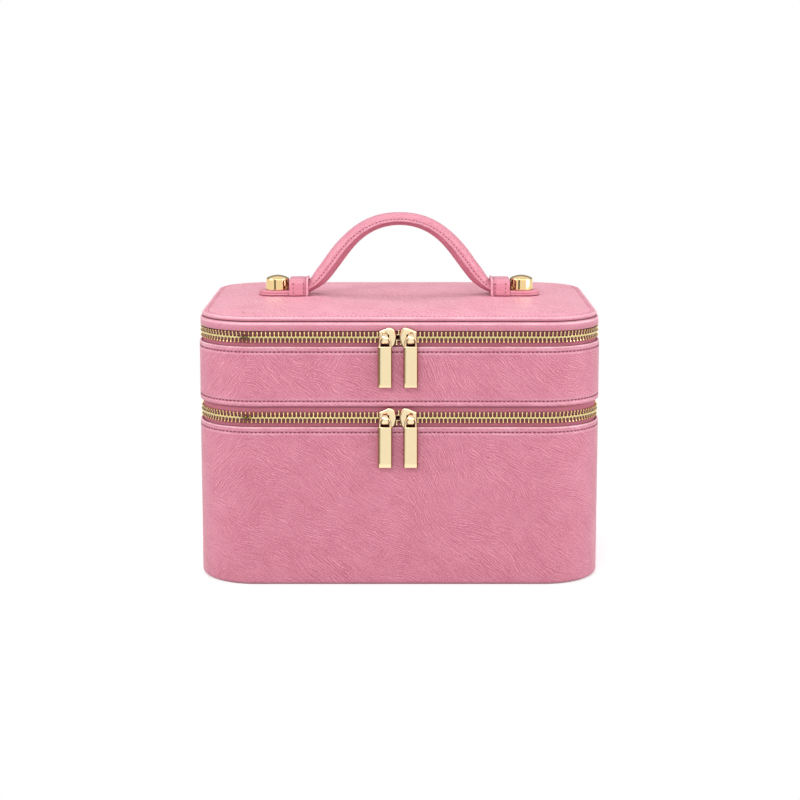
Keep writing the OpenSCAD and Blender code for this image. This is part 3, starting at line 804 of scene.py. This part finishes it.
def settle(pad, held, reach):
    """Lets a pad's leather settle over its foam as cloth does: a copy of its mesh, kept still where
    held is 1, swells for some frames. The pad takes over each point's move, eased off towards reach
    in mm."""
    rest = np.empty(len(pad.data.vertices) * 3)
    pad.data.vertices.foreach_get("co", rest)
    trial = new_object("settling", pad.data.copy())
    group = trial.vertex_groups.new(name="Held")
    level = np.round(held, 1)
    for share in np.unique(level[level > 0]):
        group.add(np.flatnonzero(level == share).tolist(), float(share), "REPLACE")
    modifier = trial.modifiers.new("Cloth", "CLOTH")
    rules = modifier.settings
    rules.use_pressure = True
    rules.uniform_pressure_force = 4.0
    rules.effector_weights.gravity = 0.0
    rules.vertex_group_mass = "Held"
    modifier.point_cache.frame_end = SETTLE_FRAMES
    for number in range(1, SETTLE_FRAMES + 1):
        scene.frame_set(number)
    found = np.empty(rest.shape)
    shown = trial.evaluated_get(bpy.context.evaluated_depsgraph_get())
    shown.data.vertices.foreach_get("co", found)
    move = (found - rest).reshape(-1, 3) * 1000
    length = np.maximum(np.linalg.norm(move, axis=1), 1e-9)[:, None]
    move *= reach * np.tanh(length / reach) / length
    pad.data.vertices.foreach_set("co", rest + move.ravel() * 0.001)
    pad.data.update()
    bpy.data.meshes.remove(trial.data)
    scene.frame_set(1)


def lid_top():
    """The padded top, closed by its flat underside. Its rim is sewn down and two feet of leather
    press on it; between them it starts low, because the leather swells as it settles."""
    depth = np.r_[3.2, CROWN_IN + CROWN_RIM * np.linspace(0, 1, 15)]
    z = crown_height(depth)
    z[0] = SEAM_Z + 0.2
    ring = round_the_rim(LOOP_S, depth, z)
    inner = ring[:, -1:]
    middle = np.array([0, 0, LID_TOP])
    fill = [middle + (inner - middle) * k for k in np.linspace(0.93, 0.06, 13)]
    low = ring[:, :1] * (1, 1, 0) + (0, 0, SEAM_Z + 0.1)
    under = [low * (k, k, 1) for k in (0.6, 0.95)]
    whole = np.concatenate([*under, ring, *fill], 1)
    sewn = np.r_[1, 1, np.clip((6.7 - depth) / 1.5, 0, 1), np.zeros(len(fill))]
    x, y = np.abs(whole[..., 0]), np.abs(whole[..., 1])
    off = np.maximum(np.abs(x - FOOT_X) - FOOT_HALF_X, 0), np.maximum(y - FOOT_HALF_Y, 0)
    held = np.maximum(sewn, np.clip(1.5 - np.hypot(*off) / 4, 0, 1))
    whole[..., 2] -= 0.35 * (1 - held)
    held = np.r_[held.T.ravel(), 1.0, 0.0]
    shape = tube(whole.transpose(1, 0, 2))
    pad = piece("lid_pad", shape, "lid", LID_LEATHER_PAINTED_PALER, ("lid_top_leather",))
    settle(pad, held, 0.7)
    at = CROWN_IN + 1.3
    row = stitches(STITCH_S, at, crown_height(at) - 0.12)
    piece("lid_stitches", row, "lid", PALE_THREAD)


# ---- Zips ----

TAPE_EDGE = 0.6
ROW_DROP = 0.28
ROW_DEPTH = 1.65
SLIDER_SHIFT = -0.9
# height of each zip, then the bodies below and above it, with the heights of edge and tape's end
BOTH_ZIPS = {
    "lower": (LOWER_ZIP, ("lower_case", LOWER_TOP, LOWER_TOP - 8), ("tray", TRAY_Z, TRAY_Z + 8)),
    "upper": (UPPER_ZIP, ("tray", TRAY_TOP, TRAY_TOP - 8), ("lid", LID_Z, SEAM_Z - 0.2)),
}


def half_tape(stem, body, zip_z, far_z):
    """Cloth tape from behind the leather to the beaded edge that the teeth grip."""
    way = 1.0 if far_z > zip_z else -1.0
    # depth, distance from the zip's centre and painted shade near the teeth
    near = [(1.75, 5.0, 0), (1.8, 3.6, 0.1), (1.7, 3.0, 0.8), (1.55, 2.4, 1), (1.3, 1.2, 1)]
    near += [(1.45, TAPE_EDGE, 1), (2.1, TAPE_EDGE, 1), (2.35, 1.2, 0), (2.3, 3.6, 0)]
    near = [(depth, zip_z - ROW_DROP + rise * way, shade_by_teeth) for depth, rise, shade_by_teeth in near]
    end = ZIP_END + 2.3
    strip = swept(np.linspace(-end, end, 301), [(1.75, far_z), *near, (2.3, far_z)])
    piece(f"{stem}_cloth", tube(*strip), body, TAPE, (f"{stem}_tape",))


def tooth(way):
    """One cast tooth: a wide head that stops just short of the zip's centre, a narrow neck, and a
    round clamp on the tape's bead."""
    rows = [(-0.05, 1.12, 1.15), (-0.42, 1.12, 1.15), (-0.52, 1.0, 0.98), (-0.6, 0.26, 0.6)]
    rows += [(-1.95, 0.22, 0.62), (-2.3, 0.36, 1.04), (-2.8, 0.38, 1.1), (-3.15, 0.24, 0.75)]
    verts, faces = stack(rows, 8, 24.0)
    return verts * (1, 1, way), faces


def row_of_teeth(stem, body, zip_z, way):
    """One half's teeth, half a pitch from the other's, and parted round the parked sliders."""
    start = -ZIP_END + TOOTH_PITCH * (0.5 if way > 0 else 0.0)
    s = np.arange(start, ZIP_END, TOOTH_PITCH)
    parted = 1.35 * np.clip(1 - (np.abs(s - SLIDER_SHIFT) / 6.0) ** 2, 0, 1)
    teeth = on_rim(tooth(way), s, ROW_DEPTH, zip_z - ROW_DROP - way * parted)
    nodes = (f"{stem}_teeth",)
    piece(f"{stem}_row", teeth, body, TOOTH_GOLD, nodes, smooth=False)


def zips():
    for which, (zip_z, *halves) in BOTH_ZIPS.items():
        for (body, _, far_z), way in zip(halves, (1.0, -1.0)):
            stem = f"{which}_zip_{body.removeprefix('lower_')}"
            half_tape(stem, body, zip_z, far_z)
            row_of_teeth(stem, body, zip_z, way)


# ---- Sliders and pulls ----

SLIDER_L, SLIDER_H, TAIL_H = 9.9, 11.2, 7.2
PLATE_BACK = HALF_D + 0.2


def pillow(circles, rings, n=96):
    """A solid round a set of circles (x, y, radius): for each direction, the circle that reaches
    furthest gives a point. Each ring is drawn in by its first number and lies at its second."""
    a = np.arange(n) * 2 * PI / n
    way = pack(np.cos(a), np.sin(a))
    c = np.array(circles, float)
    x, y, r = c[np.argmax(way @ c[:, :2].T + c[:, 2], 1)].T
    inset, z = np.array(rings).T[..., None]
    return tube(pack(x + (r - inset) * way[:, 0], y + (r - inset) * way[:, 1], z))


def along_path(path, across, section, widths=1.0):
    """Rings of a section (a, b) carried along a flat path: a lies along the direction across, times
    the width at each point, and b along the path's own normal."""
    ahead = np.gradient(path, axis=0)
    ahead /= np.linalg.norm(ahead, axis=1)[:, None]
    normal = np.cross(across, ahead)
    a, b = section.T
    wide = (np.broadcast_to(widths, len(path))[:, None] * a)[..., None]
    return path[:, None] + wide * across + b[:, None] * normal[:, None]


def slider(reach, pivot_z, zip_z):
    """The right-hand slider: a shield-shaped plate with round edges, a back plate behind the teeth,
    a post between the rows, and an arched strap, reach from its middle, that holds the pull."""
    nose, shoulder, tail = 4.6, 3.1, 1.0
    circles = [(-SLIDER_L / 2 + nose, 0, nose)]
    for way in (-1, 1):
        circles.append((-SLIDER_L / 2 + 0.6 + shoulder, way * (SLIDER_H / 2 - shoulder), shoulder))
        circles.append((SLIDER_L / 2 - tail, way * (TAIL_H / 2 - tail), tail))
    rounding = [(0.35, 0), (0.05, 0.12), (0, 0.4), (0.02, 0.75), (0.2, 1.05), (0.5, 1.22)]
    front = pillow(circles, [*rounding, (0.9, 1.32)])
    back = pillow(circles, [(0.4, -4.3), (0, -4.0), (0, -3.6), (0.4, -3.4)])
    post = rounded_box((2.4, 0.06, 3.6), 0.02, (-SLIDER_L / 2 + 1.6, -ROW_DROP, -1.7))
    verts, faces = joined(front, back, post)
    x, y, z = verts.T
    a = np.linspace(-PI / 2, PI / 2, 25)
    arch = pack(0, -PLATE_BACK - 0.9 - 3.7 * np.cos(a), pivot_z + 0.5 + 3.05 * np.sin(a))
    widths = np.interp(a, [-1.2, 0.2, 1.0, 1.5], [2.05, 1.95, 1.35, 1.2])
    strap = tube(along_path(arch, (1.0, 0, 0), oval(1.0, 0.5, 16, 3.2), widths))
    return joined((pack(x, -PLATE_BACK - z, y + zip_z), faces), moved(strap, (reach, 0, 0)))


def pull(pivot, low_z):
    """A pull that hangs from its pivot: a round-headed loop of wire section and a flat bar."""
    half, top, foot, corner = 2.92, 1.0, -4.4, 2.2
    a = np.linspace(0, PI / 2, 8)
    right = pack(half - corner + corner * np.cos(a), 0, top - corner + corner * np.sin(a))
    right = np.r_[[[half, 0, foot]], right]
    path = np.r_[right, right[::-1] * (-1, 1, 1)]
    wire = tube(along_path(path, (0, 1.0, 0), oval(0.62, 0.55)))
    end = low_z - pivot[2]
    edge = [(4.0, -0.1), (3.97, -0.22), (3.52, -0.6), (3.42, -0.67), (3.34, -0.7), (0, -0.7)]
    edge = np.array(edge)
    back_again = edge[-2::-1]
    ring = [edge, back_again * (-1, 1), -edge[:-1], back_again * (1, -1)]
    x, y = np.concatenate(ring).T
    # height, share of the width and share of the thickness
    levels = [(end, 0.9, 0.3), (end + 0.12, 0.96, 0.5), (end + 0.5, 1, 1), (end + 3, 1, 1)]
    levels += [(foot - 2, 1, 1), (foot + 0.05, 1, 1), (foot + 0.2, 1, 1)]
    levels += [(foot + 0.4, 0.985, 0.85), (foot + 0.5, 0.93, 0.5)]
    z, kx, ky = np.array(levels).T[..., None]
    return moved(joined(wire, tube(pack(x * kx, y * ky, z))), pivot)


def sliders_and_pulls():
    pivots = {j["name"]: np.array(j["pos_m"]) * 1000 for j in frame["joints"] if "pos_m" in j}
    for which, (zip_z, *_) in BOTH_ZIPS.items():
        for side, way in (("left", -1.0), ("right", 1.0)):
            body, node = f"{which}_{side}_slider", f"{which}_slider_{side}"
            x, _, z = pivot = pivots[f"{which}_{side}_pull_swing"]
            low, high = span(node)
            middle = (low[0] + high[0]) / 2
            shape = slider(way * (x - middle), z, zip_z)
            if way < 0:
                shape = mirrored(shape)
            shape = moved(shape, (middle, 0, 0))
            piece(f"{body}_body", shape, body, ZIP_GOLD, (node,), merge=True)
            front = -PLATE_BACK - 1.32
            # Painted shadow: thin dark boxes on the slider's face, in the slot under the strap and
            # in the hole beside it.
            slot_shadow = rounded_box((4.6, 0.24, 1.15), 0.1, (x, front, z - 3.35))
            hole_shadow = rounded_box((0.8, 0.24, 1.6), 0.1, (x - way * 2.0, front, z + 1.9))
            piece(f"{body}_mouth", joined(slot_shadow, hole_shadow), body, PAINTED_SLIDER_SHADOW)
            body, node = f"{which}_{side}_pull", f"{which}_pull_{side}"
            shape = pull(pivot, z_of(node)[0])
            piece(f"{body}_tab", shape, body, ZIP_GOLD, (node,), merge=True)


# ---- Handle ----

HALF_SPAN, TOP_PULL, FOOT_PULL = 60.5, 37.0, 41.0
ROLL_AT = [0, 0.3, 0.5, 0.72, 0.86, 1]
ROLL_T = [7.5, 8.8, 10, 9.6, 6.4, 6.2]
ROLL_W = [16.5, 15.5, 14, 14, 15.6, 16]
RIDGE_AT, SEAM_AT = -0.26, 0.08
UPPER_POWER, LOWER_POWER = 2.1, 2.6
KEEPER_X = (54.4, 65.9)
KEEPER_HALF, KEEPER_H = 9.7, 10.1
TAB_END, TAB_HALF = 84.3, 8.5


def smooth_along(t, values):
    """Values between the roll's knots, with their corners rounded by averaging."""
    shift = np.linspace(-0.06, 0.06, 9)
    weight = np.hanning(11)[1:-1]
    near = (w * np.interp(np.abs(t + d), ROLL_AT, values) for w, d in zip(weight, shift))
    return sum(near) / weight.sum()


def centre_line(t):
    """The handle's centre line, a cubic from the top to a foot, with its unit normal (upward)."""
    a, side = np.abs(t), np.where(t < 0, -1.0, 1.0)
    z0, z1 = HANDLE_TOP - ROLL_T[0] / 2, LID_TOP + 3.4
    x = 3 * a * (1 - a) ** 2 * TOP_PULL + 3 * a**2 * (1 - a) * FOOT_PULL + a**3 * HALF_SPAN
    z = z0 + (z1 - z0) * (3 * a**2 - 2 * a**3)
    dx = 3 * (1 - a) ** 2 * TOP_PULL - 6 * a * (1 - a) * TOP_PULL + 6 * a * (1 - a) * FOOT_PULL
    dx += -3 * a**2 * FOOT_PULL + 3 * a**2 * HALF_SPAN
    dz = (z1 - z0) * 6 * a * (1 - a)
    length = np.hypot(dx, dz)
    return x * side, z, -dz / length * side, dx / length


def bell(value, middle, width):
    return np.exp(-(((value - middle) / width) ** 2))


def roll_section(t, u):
    """Offsets across (y) and up (n) of the roll's skin, and its painted light, at places along it
    by angles round it: a soft superellipse with a raised fold edge below the seam, a channel under
    the stitches and a narrower, loosely folded underside. The painted light is a highlight along
    the fold edge and shade on the underside."""
    h, w = smooth_along(t, ROLL_T) / 2, smooth_along(t, ROLL_W) / 2
    c, s = np.cos(u), np.sin(u)
    power = np.where(s > 0, UPPER_POWER, LOWER_POWER)
    up, across = soft(s, power), soft(c, power)
    below = np.clip((RIDGE_AT - up) / 0.1, 0, 1)
    below = below * below * (3 - 2 * below)
    fold = 0.05 * np.sin(21 * t + 3 * up) * np.sin(7.3 * t + 1.1) * below
    shape = 1 + 0.035 * bell(up, RIDGE_AT, 0.08) - 0.17 * below
    shape = shape - 0.03 * bell(up, SEAM_AT, 0.07) + fold
    # Painted highlight on the fold edge, painted shade on the underside.
    painted_light = 0.6 * bell(up, RIDGE_AT + 0.02, 0.07) - 0.45 * below
    return w * across * shape, h * up, painted_light


def skin_of_roll(t, angle):
    """Points of the roll's skin at places along it by angles round it, and their painted light."""
    t = t[:, None]
    x, z, nx, nz = centre_line(t)
    across, up, painted_light = roll_section(t, angle)
    return pack(x + up * nx, across, z + up * nz), painted_light


def handle():
    """The roll, with a row of stitches on both faces at even steps of its line's length."""
    shape = mapped_tube(*skin_of_roll(np.linspace(-1, 1, 161), np.linspace(0, 2 * PI, 73)[:-1]))
    roll = piece("handle_roll", shape, "lid", PIPING, ("handle_cover",), merge=True)
    dense = np.linspace(-0.83, 0.83, 2000)
    x, z, _, _ = centre_line(dense)
    run = np.r_[0, np.cumsum(np.hypot(np.diff(x), np.diff(z)))]
    at = np.interp(np.arange(1.0, run[-1], 2.2), run, dense)
    _, _, nx, nz = centre_line(at)
    seam_angle = math.asin(SEAM_AT ** (UPPER_POWER / 2))
    hump = bead((0, 0.26, 0.24), (0.4, 0.22, 0.2), (0.6, 0.06, 0.06))
    rows = []
    for angle, way in ((seam_angle, 1.0), (PI - seam_angle, -1.0)):
        origin = skin_of_roll(at, np.array([angle]))[0][:, 0]
        rows.append(copies(hump, origin, pack(nz, 0, -nx), pack(0 * nx, way, 0), pack(nx, 0, nz)))
    piece("handle_stitches", joined(*rows), "lid", THREAD)


def keeper():
    """A leather band bent over the tab and the roll, with a raised fold at its inner end."""
    length = KEEPER_X[1] - KEEPER_X[0]
    # distance from the inner end, height over the band's path and painted light: a highlight above
    # 0, shade below 0
    section = [(0, 0.2, 0), (0.02, 1.2, 0.1), (0.3, 1.62, 0.35), (0.9, 1.62, 0.35), (1.35, 1.2, 0)]
    section += [(1.6, 0.82, -0.6), (2.0, 0.98, -0.3), (4, 1.06, 0), (7, 1.06, 0)]
    section += [(length - 0.9, 1.02, 0), (length - 0.3, 0.85, 0), (length, 0.45, 0)]
    section += [(length - 0.1, 0.05, 0), (length - 0.6, 0, 0), (6, 0, 0), (3, 0, 0), (0.5, 0, 0)]
    section = np.array(section)
    r, half, top = 2.0, KEEPER_HALF - 1.0, KEEPER_H - 1.0
    a = np.linspace(0, PI / 2, 7)
    y = np.r_[half, half, half, half - r + r * np.cos(a)]
    z = np.r_[-0.6, 2, 5, top - r + r * np.sin(a)]
    y, z = np.r_[y, 0, -y[::-1]], np.r_[z, top, z[::-1]]
    points = along_path(pack(0, y, z + LID_TOP), (1.0, 0, 0), section[:, :2] * (1, -1))
    points[..., 0] += KEEPER_X[0]
    return mapped_tube(points, section[:, 2])


def keeper_stitches():
    """Three upright stitches beside each end of a band, on both its sides."""
    hump = bead((0.32, 0.26, 0.2), (0.5, 0.06, 0.06))
    columns = [KEEPER_X[0] + 2.7, KEEPER_X[1] - 2.6]
    grid = np.meshgrid(columns, [2.4, 4.9, 7.4], [-1.0, 1.0], indexing="ij")
    x, z, side = (values.ravel() for values in grid)
    origin = pack(x, side * (KEEPER_HALF + 0.05), z + LID_TOP)
    return copies(hump, origin, pack(0 * x, 0, 1), pack(0, side, 0), pack(0 * x + 1, 0, 0))


def tab():
    """A tab of two folded layers with a round end, and a shallow line pressed inside its edge."""
    r = 2.4
    circles = [(TAB_END - TAB_HALF, 0, TAB_HALF), (59.5, TAB_HALF - r, r), (59.5, r - TAB_HALF, r)]
    rings = [(0.5, 0.02), (0.05, 0.35), (0, 0.9), (0.1, 1.2), (0.42, 1.45), (0.12, 1.7), (0, 2.2)]
    rings += [(0.15, 2.7), (0.5, 3.02), (0.95, 3.12), (1.35, 3.02), (1.6, 2.98), (1.9, 3.06)]
    return moved(pillow(circles, [*rings, (2.2, 3.1)], 120), (0, 0, LID_TOP))


def stud():
    """A turned gold cap: a tapered side, a small shoulder, a fine groove and a low dome."""
    profile = [(6.75, 3.06), (7.1, 3.08), (7.15, 3.3), (7.14, 3.8), (7.0, 6.4), (6.86, 9.0)]
    profile += [(6.84, 9.4), (6.8, 9.75), (6.7, 10.0), (6.56, 10.12), (6.48, 10.1), (6.4, 10.05)]
    profile += [(6.26, 10.2), (6.08, 10.38), (5.4, 10.74), (4.3, 11.14), (3.0, 11.52)]
    r, z = np.array([*profile, (1.6, 11.78), (0.6, 11.87)]).T[..., None]
    a = np.arange(64) * 2 * PI / 64
    return moved(tube(pack(r * np.cos(a), r * np.sin(a), z)), (STUD_X, 0, LID_TOP))


def handle_fittings():
    for side, turn in (("left", mirrored), ("right", lambda shape: shape)):
        band, nodes = turn(keeper()), (f"keeper_loop_{side}",)
        piece(f"{side}_keeper_band", band, "lid", PIPING, nodes, merge=True)
        piece(f"{side}_keeper_stitches", turn(keeper_stitches()), "lid", THREAD)
        piece(f"{side}_tab_leather", turn(tab()), "lid", TAB_LEATHER, (f"handle_tab_{side}",))
    studs = joined(stud(), mirrored(stud()))
    piece("stud_pair", studs, "lid", STUD_GOLD, ("stud_caps",))


# ---- Back hinges and linings ----


def hinge_leather(which, axis_z, below, above):
    """A strip across the back from behind one leather edge to behind the next, with a soft fold at
    the hinge's axis, carried straight along X."""
    (low, z0, _), (high, z1, _) = below, above
    z = np.r_[z0 - (7, 3, 0.8), np.linspace(z0, z1, 19), z1 + (0.8, 3, 4.6)]
    inside = np.clip((z - z0 + 0.8) / 1.6, 0, 1) * np.clip((z1 + 0.8 - z) / 1.6, 0, 1)
    outer = 1.75 - 1.15 * inside + 0.25 * bell(z, axis_z, 0.9)
    depth = np.r_[outer, np.full(len(z), 2.35)]
    z = np.r_[z, z[::-1]]
    end = HINGE_HALF + 0.4
    x = np.linspace(-end, end, 61)[:, None]
    shape = tube(pack(x, HALF_D - depth, z), pack(x, z))
    nodes = [f"{high}_hinge_{body.removeprefix('lower_')}_strip" for body in (low, high)]
    made = piece(f"{which}_back_hinge", shape, None, LEATHER, nodes)
    start, end = ((0, HALF_D / 1000, height / 1000) for height in (z0 + 0.6, z1 - 0.6))
    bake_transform(made)


def lining_skin(stem, body, low, top):
    """The cloth on the inside of a wall, turned over the board's top edge."""
    profile = [(2.45, top - 1.0), (2.5, top - 0.35), (2.8, top - 0.05), (4.6, top)]
    profile += [(5.05, top - 0.2), (5.25, top - 0.7), (5.2, top - 5), (5.2, low + 6), (5.2, low)]
    profile += [(4.45, low), (4.45, top - 1.0)]
    points = round_the_rim(LOOP_S, *np.array(profile).T)
    shape = points.reshape(-1, 3), grid_faces(*points.shape[:2], True, True)
    piece(f"{stem}_lining_skin", shape, body, LINING, (f"{stem}_wall_lining",))


def back_and_inside():
    for which, zip_row in BOTH_ZIPS.items():
        hinge_leather(which, *zip_row)
    lining_skin("lower", "lower_case", z_of("base_lining")[1], LOWER_TOP - 0.2)
    lining_skin("tray", "tray", z_of("tray_floor_lining")[1], TRAY_TOP - 0.2)


def dress_cad_nodes():
    """Gives each CAD node that stays the material of its kind."""
    kinds = dict(foam=FOAM, core=FOAM, board=BOARD, lining=LINING, mirror=MIRROR, stud_=STEEL)
    for name, node in frame["nodes"].items():
        for word, material in kinds.items():
            if word in name:
                node.data.materials.clear()
                node.data.materials.append(material)
                break


lower_case()
tray()
lid_sides()
lid_top()
zips()
sliders_and_pulls()
handle()
handle_fittings()
back_and_inside()
dress_cad_nodes()
